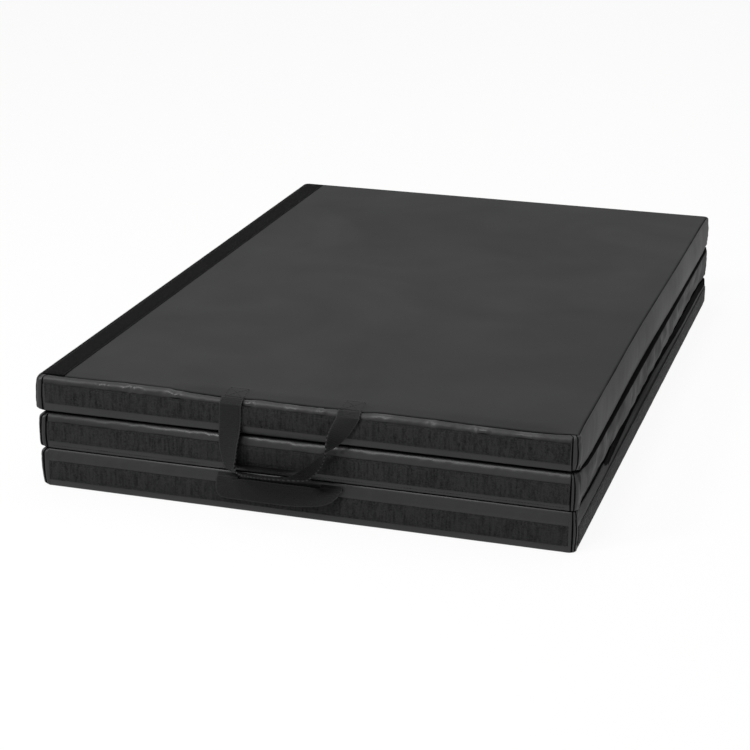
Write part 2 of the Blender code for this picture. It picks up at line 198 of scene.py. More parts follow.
def makePileGroup():
    # hook or loop pile: a dense stubble with streaks across the tape
    group, start, end = newGroup("tapePile", {"Pile Scale": 1100.0}, ("Height", "Shade"))
    stubble = addNode(group, "TexVoronoi", feature="F1", Randomness=0.85)
    fluff = addNode(group, "TexNoise", Detail=5.0, Roughness=0.75)
    squeeze = addNode(group, "Mapping", Scale=(420.0, 420.0, 60.0))
    streak = addNode(group, "TexNoise", Scale=1.0, Detail=3.0, Roughness=0.6)
    for node in (stubble, fluff, squeeze):
        link(start["Vector"], node.inputs["Vector"])
    link(squeeze.outputs["Vector"], streak.inputs["Vector"])
    link(start["Pile Scale"], stubble.inputs["Scale"])
    link(calc("MULTIPLY", start["Pile Scale"], 0.5), fluff.inputs["Scale"])
    height = calc("SUBTRACT", calc("MULTIPLY", fluff.outputs["Fac"], 1.2), stubble.outputs["Distance"])
    link(height, end["Height"])
    shade = calc("ADD", calc("MULTIPLY", streak.outputs["Fac"], 0.9),
                 calc("MULTIPLY", fluff.outputs["Fac"], 0.9))
    link(shade, end["Shade"])
    return group


# finishes

def newMaterial(name, roughness, specular):
    mat = bpy.data.materials.new(name)
    mat.use_nodes = True
    tree = mat.node_tree
    shader = tree.nodes["Principled BSDF"]
    shader.inputs["Roughness"].default_value = roughness
    shader.inputs["Specular IOR Level"].default_value = specular
    return mat, tree, shader, addNode(tree, "TexCoord").outputs


def shadeBetween(value, dark, light, low=0.3, high=0.7):
    ramp = addNode(value.id_data, "ValToRGB")
    for stop, position, colour in zip(ramp.color_ramp.elements, (low, high), (dark, light)):
        stop.position = position
        stop.color = (*colour, 1)
    link(value, ramp.inputs["Fac"])
    return ramp.outputs["Color"]


def remap(value, low, high, toLow, toHigh):
    node = addNode(value.id_data, "MapRange")
    for socket, number in zip(node.inputs[1:5], (low, high, toLow, toHigh)):
        socket.default_value = number
    link(value, node.inputs[0])
    return node.outputs[0]


def scaled(colour, factor):
    node = addNode(colour.id_data, "VectorMath", operation="SCALE")
    link(colour, node.inputs[0])
    link(factor, node.inputs["Scale"])
    return node.outputs["Vector"]


def splitPlace(socket):
    node = addNode(socket.id_data, "SeparateXYZ")
    link(socket, node.inputs[0])
    return node.outputs


def bumped(shader, height, strength, distance):
    bump = addNode(shader.id_data, "Bump", Strength=strength, Distance=distance)
    link(height, bump.inputs["Height"])
    link(bump.outputs["Normal"], shader.inputs["Normal"])


# frontGloss is how much smoother the front wall is than the others
vinylLook = {
    "skin": {"dark": (0.0115, 0.0115, 0.0118), "light": (0.0145, 0.0145, 0.0149), "rough": (0.70, 0.78),
             "specular": 0.18, "grain": 0.25, "paintedShadeStrength": 0.85, "frontGloss": 0.0},
    "wall": {"dark": (0.0108, 0.0108, 0.0111), "light": (0.0162, 0.0162, 0.0167), "rough": (0.58, 0.72),
             "specular": 0.36, "grain": 0.30, "paintedShadeStrength": 0.85, "frontGloss": 0.25},
    # a black, matte vinyl that is painted shade, for faces deep in shade and for the hinge webs
    "paintedShadeSheet": {"dark": (0.0022, 0.0022, 0.0023), "light": (0.0040, 0.0040, 0.0042), "rough": (0.80, 0.90),
               "specular": 0.03, "grain": 0.20, "paintedShadeStrength": 0.5, "frontGloss": 0.0},
}


def makeVinyl(name, look):
    mat, tree, shader, coords = newMaterial(name, 0.5, look["specular"])
    grain = addNode(tree, "Group", node_tree=grainGroup)
    link(coords["Object"], grain.inputs["Vector"])
    # painted shade: the seam attribute darkens the colour in seam grooves, creases, the caved-in and overhung
    # places and between the puckers, and also makes the vinyl rougher there
    seam = addNode(tree, "Attribute", attribute_name="seam").outputs["Fac"]
    colour = shadeBetween(grain.outputs["Mottle"], look["dark"], look["light"])
    paintedShadeScale = calc("SUBTRACT", 1.0, calc("MULTIPLY", seam, look["paintedShadeStrength"]))
    link(scaled(colour, paintedShadeScale), shader.inputs["Base Color"])
    gloss = remap(splitPlace(coords["Object"])["Y"], -0.448, -0.436, look["frontGloss"], 0.0)
    rough = calc("SUBTRACT", remap(grain.outputs["Smudge"], 0.3, 0.7, *look["rough"]), gloss)
    link(calc("ADD", rough, calc("MULTIPLY", seam, 0.3)), shader.inputs["Roughness"])
    bumped(shader, grain.outputs["Height"], look["grain"], 0.0002)
    return mat


def makePile(name, dark, light, rough, specular, scale):
    mat, tree, shader, coords = newMaterial(name, rough, specular)
    pile = addNode(tree, "Group", node_tree=pileGroup)
    pile.inputs["Pile Scale"].default_value = scale
    link(coords["Object"], pile.inputs["Vector"])
    link(shadeBetween(pile.outputs["Shade"], dark, light, 0.65, 1.15), shader.inputs["Base Color"])
    link(remap(pile.outputs["Height"], -0.4, 0.8, rough + 0.1, rough - 0.15), shader.inputs["Roughness"])
    bumped(shader, pile.outputs["Height"], 0.9, 0.0006)
    return mat


def makeWebbing(name, dark, light, specular):
    mat, tree, shader, coords = newMaterial(name, 0.6, specular)
    weave = addNode(tree, "Group", node_tree=weaveGroup)
    link(coords["UV"], weave.inputs["Vector"])
    colour = shadeBetween(weave.outputs["Shade"], dark, light, 0.55, 1.45)
    # painted highlight: the colour is up to 1.9 times lighter along both selvedges
    fromMiddle = calc("ABSOLUTE", calc("SUBTRACT", splitPlace(coords["UV"])["X"], 0.0125))
    selvedge = remap(fromMiddle, 0.0110, 0.0120, 1.0, 1.9)
    link(scaled(colour, selvedge), shader.inputs["Base Color"])
    link(remap(weave.outputs["Height"], 0.0, 1.4, 0.75, 0.5), shader.inputs["Roughness"])
    shader.inputs["Sheen Weight"].default_value = 0.04
    shader.inputs["Sheen Roughness"].default_value = 0.4
    bumped(shader, weave.outputs["Height"], 1.0, 0.0009)
    return mat


def makeThread(name):
    mat, tree, shader, coords = newMaterial(name, 0.55, 0.2)
    twist = addNode(tree, "TexWave", wave_type="BANDS", Scale=900.0, Distortion=1.5)
    twist.bands_direction = "DIAGONAL"
    link(coords["Object"], twist.inputs["Vector"])
    link(shadeBetween(twist.outputs["Fac"], (0.006, 0.006, 0.0063), (0.014, 0.014, 0.0145)),
         shader.inputs["Base Color"])
    bumped(shader, twist.outputs["Fac"], 0.5, 0.0002)
    return mat


def makeFoam(name):
    mat, tree, shader, coords = newMaterial(name, 0.9, 0.2)
    cells = addNode(tree, "TexVoronoi", feature="DISTANCE_TO_EDGE", Scale=450.0)
    mottle = addNode(tree, "TexNoise", Scale=60.0, Detail=4.0)
    link(coords["Object"], cells.inputs["Vector"])
    link(coords["Object"], mottle.inputs["Vector"])
    link(shadeBetween(mottle.outputs["Fac"], (0.10, 0.10, 0.105), (0.14, 0.14, 0.145)),
         shader.inputs["Base Color"])
    bumped(shader, cells.outputs["Distance"], 0.8, 0.0008)
    return mat


grainGroup = makeGrainGroup()
weaveGroup = makeWeaveGroup()
pileGroup = makePileGroup()
skinVinyl = makeVinyl("matteSkinVinyl", vinylLook["skin"])
wallVinyl = makeVinyl("satinWallVinyl", vinylLook["wall"])
hookTape = makePile("hookTape", (0.007, 0.007, 0.0075), (0.026, 0.026, 0.027), 0.75, 0.07, 1000.0)
loopTape = makePile("loopTape", (0.0030, 0.0030, 0.0030), (0.0085, 0.0085, 0.0085), 0.9, 0.03, 1500.0)
# painted light: a lighter copy of the hook tape for the bottom panel's right end, which is lit more than the
# front
endHookTape = makePile("endHookTape", (0.010, 0.010, 0.0105), (0.040, 0.040, 0.0415), 0.75, 0.1, 1000.0)
webbing = makeWebbing("handleWebbing", (0.0025, 0.0025, 0.0027), (0.0155, 0.0155, 0.016), 0.06)
# painted shade: a darker copy of the webbing, for the straps' inner shells
paintedShadeInnerWebbing = makeWebbing("paintedShadeInnerWebbing", (0.0012, 0.0012, 0.0013), (0.0045, 0.0045, 0.0047), 0.02)
thread = makeThread("bondedThread")
# painted shade: a black, matte vinyl for the darkest seams, creases and the cave, and for the hinge webs
paintedShadeVinyl = makeVinyl("paintedShadeMatteVinyl", vinylLook["paintedShadeSheet"])
foam = makeFoam("closedCellFoam")
print("finishes made")


# panel covers

cover = {
    "cornerRadius": 9 * mm,
    "crown": 1.2 * mm,
    "edgeInset": 4.2 * mm,
    "upperEdge": {"bottom": 2.2 * mm, "middle": 6.5 * mm, "top": 6.5 * mm},
    "lowerEdge": {"bottom": 2.0 * mm, "middle": 1.8 * mm, "top": 2.4 * mm},
    "sideEdge": 2.2 * mm,
    "columns": (1.7 * mm, 3.0 * mm, 5.0 * mm, 5.0 * mm),  # on the front, right, back and left
    "rim": 36 * mm,
    "seamDepth": 0.9 * mm,
    # sharp folds: millimetres along the front wall from where its corner starts to curve, and depth
    "creases": {"bottom": {4.4: 1.1 * mm, 8.8: 0.9 * mm}, "middle": {0.88: 0.8 * mm, 5.28: 0.8 * mm},
                "top": {0.88: 0.9 * mm, 7.04: 0.5 * mm}},
    "slack": (1.012, 1.012, 1.02),
    "outwardCap": 1.6 * mm,
    "inwardCap": 1.2 * mm,
    "frames": 14,
    "relaxed": 0.35,  # the share of the simulated move that is kept
    "fillCell": 14 * mm,
    "topSwell": 0.18 * mm,
    "gapRise": {"low": (1.2 * mm, 2.9 * mm), "high": (0.3 * mm, 2.4 * mm)},  # left and right end of the front
    "riseReach": 90 * mm,
    "frontClosing": 1.7 * mm,
    "cave": 10.0 * mm,
    "sag": 4.5 * mm,
    # how far the left front corner stands out at its foot and at its head
    "cornerSwell": {"bottom": (2.5 * mm, 4.6 * mm), "middle": (4.8 * mm, 4.6 * mm),
                    "top": (4.6 * mm, 2.4 * mm)},
    "leftFold": -301.3 * mm,  # where the two lower covers end on the left
    "sideDraw": 2.2 * mm,
    "seamDrop": 1.4 * mm,
    "tabBump": 0.45 * mm,
}

clothSettings = {"quality": 4, "mass": 0.02, "tension_stiffness": 20, "compression_stiffness": 20,
                 "shear_stiffness": 8, "bending_stiffness": 0.05, "vertex_group_mass": "held",
                 "use_pressure": True, "uniform_pressure_force": 4.0}

# height of the top panel's front seam over its even line, by x, in millimetres
seamLine = ((-299, 1.4), (-291, 1.0), (-269, 0.5), (-235, 0.8), (-201, 1.7), (-175, 1.6), (-152, 1.6),
            (-139, 0.2), (-118, -1.2), (-91, -2.0), (-65, -1.5), (-43, -0.4), (-23, -0.9), (7, -1.1),
            (40, -0.8), (63, -1.9), (88, 0.4), (140, 0.1), (195, -1.0), (245, -1.3), (270, -0.7), (293, 0.9),
            (300, 0.9))
# puckers above the top panel's front tape: middle, half width and depth, in millimetres
puckerSpots = ((-224, 9, 0.9), (-190, 16, 1.1), (-142, 11, 1.7), (-56, 7, 1.0), (-9, 9, 0.9), (23, 6, 1.5),
               (90, 12, 0.5), (143, 7, 1.1), (195, 13, 1.3), (245, 13, 1.0))
tabMiddles = (-75.6 * mm, 54.4 * mm)


def seamHeight(x):
    at = x / mm
    for (x0, z0), (x1, z1) in zip(seamLine, seamLine[1:]):
        if at <= x1:
            return (z0 + (z1 - z0) * ease((at - x0) / (x1 - x0))) * mm
    return seamLine[-1][1] * mm


def gapLift(gap, x, y):
    # how far the gap between two panels lies above its even height, near the front
    left, right = cover["gapRise"][gap]
    along = left + (right - left) * ease((x + halfWide) / 0.5)
    return along * fade(y, -halfDeep, cover["riseReach"])


def caveShare(y):
    # the bottom panel's right side is caved in above its tape, most at half its length
    return ease((y + 0.33) / 0.27) * (1 - 0.85 * ease((y - 0.03) / 0.24))


def edgeLift(panel, upper, x, y):
    # the soft edges sag or are pushed up towards the front, and close the lower gap there
    near = fade(y, -halfDeep, 60 * mm)
    if panel == "top" and upper:
        return (seamHeight(x) - cover["seamDrop"]) * near
    if panel == "bottom" and not upper:
        return 0.0
    low = panel == "bottom" or (panel == "middle" and not upper)
    lift = gapLift("low" if low else "high", x, y)
    if panel == "bottom":
        lift += cover["frontClosing"] * near - cover["sag"] * ease((x - 0.25) / 0.04) * caveShare(y)
    return lift


def rimShare(inset):
    # how much of its edge's lift a place on a skin has, by its distance from the edge
    return fade(inset, 5 * mm, 24 * mm)


def tabLift(x, inset):
    # the skin stands up a little over the handles' sewn tabs
    tab = min(abs(x - middle) for middle in tabMiddles)
    return cover["tabBump"] * fade(tab, 11.5 * mm, 2.5 * mm) * ease((31 * mm - inset) / (3 * mm))


def rightSwell(panel, y, f):
    # how far the right side stands out, f from 0 at its foot to 1 at its head
    window = ease((y + 0.445) / (40 * mm)) * ease((0.445 - y) / (60 * mm))
    if panel == "top":
        return window * (1.3 - 2.1 * f) * mm - cover["sideDraw"] * math.exp(-((y + 0.08) / 0.2) ** 2) * window
    if panel == "middle":
        return window * (-2.7 + 3.9 * f) * mm
    recess = math.sin(clamp((f - 0.66) / 0.3, 0, 1) * math.pi / 2) ** 0.8
    return -window * (cover["cave"] * caveShare(y) + 0.8 * mm) * recess


def spotShare(x, middle, half):
    return fade(abs(x / mm - middle), half * 0.5, half * 0.7)


def frontPucker(panel, x, z, margins, phase):
    # small gathers between the tape and the seams, deepest where the top hem is gathered
    tapeFoot, tapeHead, foot, head = margins
    if z > tapeHead:
        window = math.sin(math.pi * clamp((z - tapeHead) / (head - tapeHead), 0, 1)) ** 0.7
        gathers = 0.5
        if panel == "top":
            for middle, half, depth in puckerSpots:
                gathers += depth * spotShare(x, middle, half)
        fine = 0.45 + 1.5 * ripple(x, phase, z * 0.6, 6.5 * mm)
        return window * (gathers * fine + 0.7 * ripple(x, phase, 3.0, 17 * mm)) * mm
    if z < tapeFoot:
        window = math.sin(math.pi * clamp((z - foot) / (tapeFoot - foot), 0, 1))
        return window * (0.35 * ripple(x, phase, 7.0, 15 * mm) + 0.15 * ripple(x, phase, z, 7 * mm)) * mm
    return 0.0


def rightPucker(panel, y, z, phase):
    # slanting folds in the upper two sides, fine streaks in the lowest
    if panel == "top":
        slant = Vector((y * 0.9 - z * 0.5, z * 0.25, phase))
        near = 1 + 1.3 * fade(y, -halfDeep, 0.16)
        folds = 0.34 * mm * near * noise.noise(slant / (11 * mm))
        return folds + 0.4 * mm * ripple(y, z * 0.5, phase, 45 * mm)
    if panel == "middle":
        slant = Vector((y * 0.8 + z * 0.9, z * 0.4, phase))
        return 3.0 * mm * noise.noise(slant / (24 * mm)) + 0.9 * mm * ripple(y, z, phase, 12 * mm)
    return 0.30 * mm * ripple(y * 0.25, z * 1.6, phase, 5 * mm) + 0.35 * mm * ripple(y, z, phase, 30 * mm)


def farPucker(x, y, z, phase):
    # the back and the left side, which no strap pulls on
    return 0.45 * mm * ripple(x + y, z * 0.6, phase, 38 * mm) + 0.2 * mm * ripple(x + y, z, phase, 12 * mm)


def panelBox(panel):
    boxes = [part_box(f"{panel}_{side}_wall") for side in sides]
    low = Vector([min(b[0][i] for b in boxes) for i in range(3)])
    high = Vector([max(b[1][i] for b in boxes) for i in range(3)])
    return low, high


def straightOf(low, high, side):
    return (high.x - low.x if side % 2 == 0 else high.y - low.y) - 2 * cover["cornerRadius"]


def stationsOf(low, high):
    # columns round the panel: (side, t) on even numbers, (corner, t) on odd ones
    found = []
    nearEnd = [d * mm for d in (0.4, 1.0, 1.7, 2.4, 3.0, 3.6, 4.5)]
    for k in range(4):
        straight = straightOf(low, high, k)
        spacing = cover["columns"][k] * 1.0
        inside = straight - 12 * mm
        count = round(inside / spacing)
        places = [0.0] + nearEnd + [6 * mm + inside * i / count for i in range(count + 1)]
        places += [straight - d for d in nearEnd]
        found += [(2 * k, p / straight) for p in sorted(places)]
        found += [(2 * k + 1, i / 16) for i in range(16)]
    return found


def cornerOut(station):
    # the way that a place on a rounded corner faces
    kind, t = station
    turn = math.radians(-90 + 90 * (kind // 2) + 90 * t)
    return math.cos(turn), math.sin(turn)


def ringPoint(low, high, station, inset):
    # a place on a rounded rectangle, inset from the panel's outline
    kind, t = station
    edge = cover["edgeInset"]
    radius = cover["cornerRadius"] - min(inset, edge) + max(inset - edge, 0) * 0.8
    x0, x1 = low.x + inset, high.x - inset
    y0, y1 = low.y + inset, high.y - inset
    corners = ((x1 - radius, y0 + radius), (x1 - radius, y1 - radius), (x0 + radius, y1 - radius),
               (x0 + radius, y0 + radius))
    if kind % 2:
        cx, cy = corners[kind // 2]
        along, deep = cornerOut(station)
        return cx + radius * along, cy + radius * deep
    starts = ((x0 + radius, y0), (x1, y0 + radius), (x1 - radius, y1), (x0, y1 - radius))
    ends = ((x1 - radius, y0), (x1, y1 - radius), (x0 + radius, y1), (x0, y0 + radius))
    a, b = starts[kind // 2], ends[kind // 2]
    return a[0] + (b[0] - a[0]) * t, a[1] + (b[1] - a[1]) * t


def crownInset(t):
    return cover["crown"] * (2 * t - 1) ** 2


def edgeRows(edge):
    # a skin's rim, its seam and the rolled edge of the wall, as (inset, depth, part)
    seam = cover["crown"] + edge
    start = seam + 0.75 * mm
    rows = [(start + (cover["rim"] - start) * k, 0.0, "rim")
            for k in (1, 0.84, 0.7, 0.57, 0.45, 0.34, 0.24, 0.15, 0.07)]
    rows += [(start, 0.0, "rim"), (seam + 0.3 * mm, 0.0, "seam"), (seam - 0.05 * mm, 0.0, "seam")]
    for degrees in (13, 26, 38, 50, 62, 76, 90):
        turn = math.radians(degrees)
        rows.append((seam - edge * math.sin(turn), edge * (1 - math.cos(turn)), "wall"))
    return rows


def bandRows(panel, height):
    # (inset, height, part) from inside the underside, over the wall, to inside the play side
    lower, upper = cover["lowerEdge"][panel], cover["upperEdge"][panel]
    rise = height - lower - upper
    steps = (0.04, 0.08, 0.13, 0.19, 0.26, 0.36, 0.5, 0.64, 0.74, 0.81, 0.87, 0.92, 0.96)
    middle = [(crownInset(t), lower + rise * t, "wall") for t in steps]
    head = [(d, height - z, part) for d, z, part in reversed(edgeRows(upper))]
    return edgeRows(lower) + middle + head


def localRow(panel, station, row, height):
    # the wide roll of an upper edge is on the front only, and small on the other sides
    inset, z, part = row
    kind, t = station
    wide = {0: 1.0, 1: 1 - ease(t), 7: ease(t)}.get(kind, 0.0)
    edge, crown, foot = cover["upperEdge"][panel], cover["crown"], cover["lowerEdge"][panel]
    small = min(edge, cover["sideEdge"])
    here = small + (edge - small) * wide
    if part != "wall" or inset > crown:
        if z < height / 2:
            return inset, z, part
        if part != "wall":
            return inset - (edge - here), z, part
        return crown + (inset - crown) * here / edge, height - (height - z) * here / edge, part
    return inset, foot + (z - foot) * (height - foot - here) / (height - foot - edge), part


def shapedPlace(panel, low, high, station, row, margins, phase):
    # where the soft cover really lies: lifted edges, swollen or caved sides, gathers and creases
    inset, z, part = localRow(panel, station, row, high.z - low.z)
    x, y = ringPoint(low, high, station, inset)
    height = high.z - low.z
    f = z / height
    share = rimShare(inset) if part == "rim" else 1.0
    upper = ease((f - 0.45) / 0.55)
    lower = ease((0.55 - f) / 0.55)
    lift = (edgeLift(panel, True, x, y) * upper + edgeLift(panel, False, x, y) * lower) * share
    side, t = station
    place = Vector((x, y, low.z + z + lift))
    if part == "rim" and panel == "top" and f > 0.5 and side == 0 and inset > 3 * mm:
        place.z += tabLift(x, inset)
    if side == 2:
        place.x += rightSwell(panel, y, f) * share
    if part == "wall":
        if side % 2 == 0:
            outward = Vector(((0, -1, 0), (1, 0, 0), (0, 1, 0), (-1, 0, 0))[side // 2])
            if side == 0:
                place += outward * frontPucker(panel, x, place.z, margins, phase)
            else:
                middle = math.sin(math.pi * clamp(f, 0, 1)) ** 0.5
                pucker = rightPucker(panel, y, z, phase) if side == 2 else farPucker(x, y, z, phase)
                place += outward * middle * pucker
        else:
            # corners pinch where the vinyl is folded over
            out = Vector((*cornerOut(station), 0))
            foot, head = cover["cornerSwell"][panel]
            swell = (foot + (head - foot) * f) * math.sin(math.pi * t) ** 0.7 if side == 7 else 0.0
            place += out * (0.5 * ripple(x, y, z * 1.5, 6 * mm) - pinch(panel, side, f)) * mm
            place += out * (swell - creasesAt(panel, station)[0]) * ease(min(f, 1 - f) / 0.09)
    return place


def pinch(panel, side, f):
    if side != 1 or panel == "bottom":
        return 0.0
    return 2.4 * ease((f - 0.72) / 0.28) if panel == "middle" else 1.8 * ease((0.25 - f) / 0.25)


def makeBand(panel, low, high, margins, phase):
    # a strip of vinyl bent round the panel: rim, seam, wall, seam, rim
    stations = stationsOf(low, high)
    rows = bandRows(panel, high.z - low.z)
    bm = newGrid(len(stations), len(rows) - 1)
    columnLayer = bm.verts.layers.int.new("column")
    rowLayer = bm.verts.layers.int.new("row")
    for v in bm.verts:
        c = round((v.co.x + 1) / 2 * len(stations)) % len(stations)
        r = round((v.co.y + 1) / 2 * (len(rows) - 1))
        v[columnLayer] = c
        v[rowLayer] = r
        v.co = shapedPlace(panel, low, high, stations[c], rows[r], margins, phase)
    bmesh.ops.remove_doubles(bm, verts=bm.verts[:], dist=0.000005)
    faceOut(bm)
    centre = (low + high) / 2
    bm.faces.ensure_lookup_table()
    outward = sum(f.calc_area() * f.normal.dot(f.calc_center_median() - centre) for f in bm.faces)
    if outward < 0:
        bmesh.ops.reverse_faces(bm, faces=bm.faces[:])
    return bm, stations, rows


def tapeSpans(panel):
    # wall areas held flat by a tape: side and its lowest and highest height
    spans = {0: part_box(f"{panel}_front_hook_strip"), 4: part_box(f"{panel}_back_loop_strip")}
    if panel == "bottom":
        spans[2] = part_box("bottom_end_hook_strip")
    return spans


def creasesAt(panel, station):
    # depth of the sharp folds in each corner, and how strongly the shade in them is painted dark
    kind, t = station
    if kind % 2 == 0:
        return 0.0, 0.0
    along = (1 - t if kind in (3, 7) else t) * cover["cornerRadius"] / mm * math.pi / 2
    near = {spot: clamp(1 - abs(along - spot) / 1.15, 0, 1) for spot in cover["creases"][panel]}
    depth = sum(cover["creases"][panel][spot] * share for spot, share in near.items())
    return depth, max(near.values())


def seamShare(panel, station, row, seam):
    # 1 in a stitched seam and less beside it, wider on the soft right and left edges: it sinks the seam's
    # groove and sets how dark the groove's painted shade is
    inset, z, part = row
    away = abs(inset - seam - 0.1 * mm)
    wide = 1.4 * mm if station[0] in (2, 6) else 1.2 * mm if (station[0], panel) == (0, "top") else 0.5 * mm
    return fade(away, 0.3 * mm, wide)


def paintedShadeAt(panel, station, row, x, y, margins):
    # painted shade, which also makes the vinyl rougher: between the puckers, where it dims the highlight, at
    # the left end of the middle panel's front roll, on the middle panel's right side, over the bottom panel's
    # front tape, and in the bottom one's caved-in right side
    kind, z = station[0], row[1]
    tapeHead, foot, head = margins[1:]
    if row[2] != "wall":
        return 0.0
    overTape = foot + z > tapeHead
    if panel == "top" and kind == 0 and overTape:
        return 0.5 * (1 - max(spotShare(x, middle, half) for middle, half, _ in puckerSpots))
    if panel == "middle" and kind == 0 and overTape:
        return 0.45 * fade(x, -0.27, 0.16)
    if panel == "middle" and kind == 2:
        return clamp(0.35 + 0.7 * ripple(y, z * 2, 1.0, 24 * mm), 0.0, 0.5)
    if panel == "bottom" and kind == 2:
        f = z / (head - foot)
        return 0.5 * ease((f - 0.68) / 0.1) + caveShare(y) * ease((f - 0.66) / 0.3)
    return 0.3 if panel == "bottom" and kind in (7, 0, 1) and overTape else 0.0


def holdWeight(low, station, row, spans):
    # 1 where the cover can't move: far from the walls, at the seams and under the tapes
    inset, z, part = row
    if part == "seam":
        return 1.0
    if part == "rim":
        return clamp((inset - 5 * mm) / (4 * mm), 0.0, 1.0)
    if station[0] in spans:
        tapeLow, tapeHigh = spans[station[0]]
        away = max(tapeLow[2] - low.z - z, low.z + z - tapeHigh[2])
        if 0.02 < station[1] < 0.98 and away < 1.0 * mm:
            return 1.0
    return 0.0


def relaxBand(obj, weights):
    # the vinyl is cut a little longer than the slab, and puckers between its seams
    obj.shape_key_add(name="cut")
    longer = obj.shape_key_add(name="slack")
    centre = sum((v.co for v in obj.data.vertices), Vector()) / len(obj.data.vertices)
    for v, point in zip(obj.data.vertices, longer.data):
        point.co = centre + Vector([(a - b) * s for a, b, s in zip(v.co, centre, cover["slack"])])
    longer.value = 0.0
    held = obj.vertex_groups.new(name="held")
    for index, weight in enumerate(weights):
        held.add([index], weight, "REPLACE")
    mod = obj.modifiers.new("relax", "CLOTH")
    for key, value in clothSettings.items():
        setattr(mod.settings, key, value)
    mod.settings.rest_shape_key = longer
    mod.settings.effector_weights.gravity = 0
    mod.collision_settings.use_collision = False
    for number in range(1, cover["frames"] + 1):
        scene.frame_set(number)
    shaped = obj.evaluated_get(bpy.context.evaluated_depsgraph_get())
    places = [v.co.copy() for v in shaped.data.vertices]
    obj.modifiers.remove(mod)
    obj.shape_key_clear()
    scene.frame_set(1)
    return places


def seamWander(x, y, phase):
    return 0.3 * mm * ripple(x, y, phase, 45 * mm) + 0.2 * mm * ripple(x, y, phase + 5, 17 * mm)


def fillInside(bm, z, low, high, swell, up):
    # the flat inside of a skin: a coarse sheet joined to the fine rim
    rim = cover["rim"]
    border = [e for e in bm.edges if e.is_boundary and abs(e.verts[0].co.z - z) < 2 * mm]
    before = set(bm.verts)
    inset = rim + 22 * mm
    wide = high.x - low.x - 2 * inset
    deep = high.y - low.y - 2 * inset
    middle = Matrix.Translation(((low.x + high.x) / 2, (low.y + high.y) / 2, z))
    place = middle @ Matrix.Diagonal((wide / 2, deep / 2, 1, 1))
    cell = cover["fillCell"]
    bmesh.ops.create_grid(bm, x_segments=round(wide / cell), y_segments=round(deep / cell), size=1.0,
                          matrix=place)
    sheet = [v for v in bm.verts if v not in before]
    inner = [e for e in bm.edges if e.is_boundary and not before & set(e.verts)]
    bmesh.ops.triangle_fill(bm, edges=border + inner, use_beauty=True, use_dissolve=False, normal=(0, 0, up))
    for v in sheet:
        edge = min(v.co.x - low.x, high.x - v.co.x, v.co.y - low.y, high.y - v.co.y)
        depth = ease((edge - inset) / (110 * mm))
        v.co.z += up * swell * depth * (0.6 + ripple(v.co.x, v.co.y, up * 3, 160 * mm))


def makeCover(panel):
    low, high = panelBox(panel)
    phase = panels.index(panel) * 7.0
    spans = tapeSpans(panel)
    margins = (spans[0][0][2], spans[0][1][2], low.z, high.z)
    bm, stations, rows = makeBand(panel, low, high, margins, phase)
    columnLayer = bm.verts.layers.int["column"]
    rowLayer = bm.verts.layers.int["row"]
    bm.verts.ensure_lookup_table()
    marks = [(v[columnLayer], v[rowLayer]) for v in bm.verts]
    weights = [holdWeight(low, stations[c], rows[r], spans) for c, r in marks]
    for v, (c, r) in zip(bm.verts, marks):
        if rows[r][2] == "seam":
            v.co.z += seamWander(v.co.x, v.co.y, phase)
    basis = [v.co.copy() for v in bm.verts]
    bm.normal_update()
    normals = [v.normal.copy() for v in bm.verts]
    mesh = bpy.data.meshes.new("bandCut")
    bm.to_mesh(mesh)
    cut = bpy.data.objects.new("bandCut", mesh)
    scene.collection.objects.link(cut)
    places = relaxBand(cut, weights)
    bpy.data.objects.remove(cut)
    moved = 0.0
    for v, home, normal, place in zip(bm.verts, basis, normals, places):
        move = (place - home) * cover["relaxed"]
        out = clamp(move.dot(normal), -cover["inwardCap"], cover["outwardCap"])
        along = move - normal * move.dot(normal)
        if along.length > 1.0 * mm:
            along *= 1.0 * mm / along.length
        v.co = home + normal * out + along
        moved = max(moved, abs(out))
    print("cover relaxed:", panel, "most", round(moved / mm, 2), "mm")
    # the seams are stitched down and sunk in a groove; the shade in the groove is painted dark into the seam
    # attribute, together with the creases' shade and the other painted shade
    paintedShadeLayer = bm.verts.layers.float.new("seam")
    for v, (c, r), normal in zip(bm.verts, marks, normals):
        edge = cover["upperEdge" if rows[r][1] > (high.z - low.z) / 2 else "lowerEdge"][panel]
        share = seamShare(panel, stations[c], rows[r], cover["crown"] + edge)
        v.co -= (normal + Vector((0, 0, math.copysign(0.4, normal.z)))) * cover["seamDepth"] * 0.7 * share
        # the shade in the creases is painted dark as well
        if rows[r][2] == "wall":
            share = max(share, creasesAt(panel, stations[c])[1])
        v[paintedShadeLayer] = min(max(share, paintedShadeAt(panel, stations[c], rows[r], v.co.x, v.co.y, margins)), 1.0)
        if panel != "top":
            # these two lie side by side when the left fold is open
            v.co.x = max(v.co.x, cover["leftFold"])
    for z, up in ((high.z, 1), (low.z, -1)):
        fillInside(bm, z, low, high, cover["topSwell"] * (1.0 if (panel, up) == ("top", 1) else 0.3), up)
    faceOut(bm)
    for f in bm.faces:
        # faces with strong painted shade get the black, matte vinyl: a sheet of painted shade
        dark = sum(v[paintedShadeLayer] for v in f.verts) / len(f.verts)
        flat = all(rows[v[rowLayer]][2] != "wall" for v in f.verts)
        f.material_index = 2 if dark > 0.55 else 0 if flat else 1
        f.smooth = True
    names = [f"{panel}_{side}_wall" for side in sides] + [f"{panel}_play_skin", f"{panel}_underside_skin"]
    obj = newPiece(f"{panel}_cover", bm, f"{panel}_panel", (skinVinyl, wallVinyl, paintedShadeVinyl), names)
    print("cover made:", panel, len(obj.data.polygons))


for panel in panels:
    makeCover(panel)


# foam slabs inside the covers

slab = {"inset": 16 * mm, "corner": 10 * mm, "skinGap": 0.8 * mm}


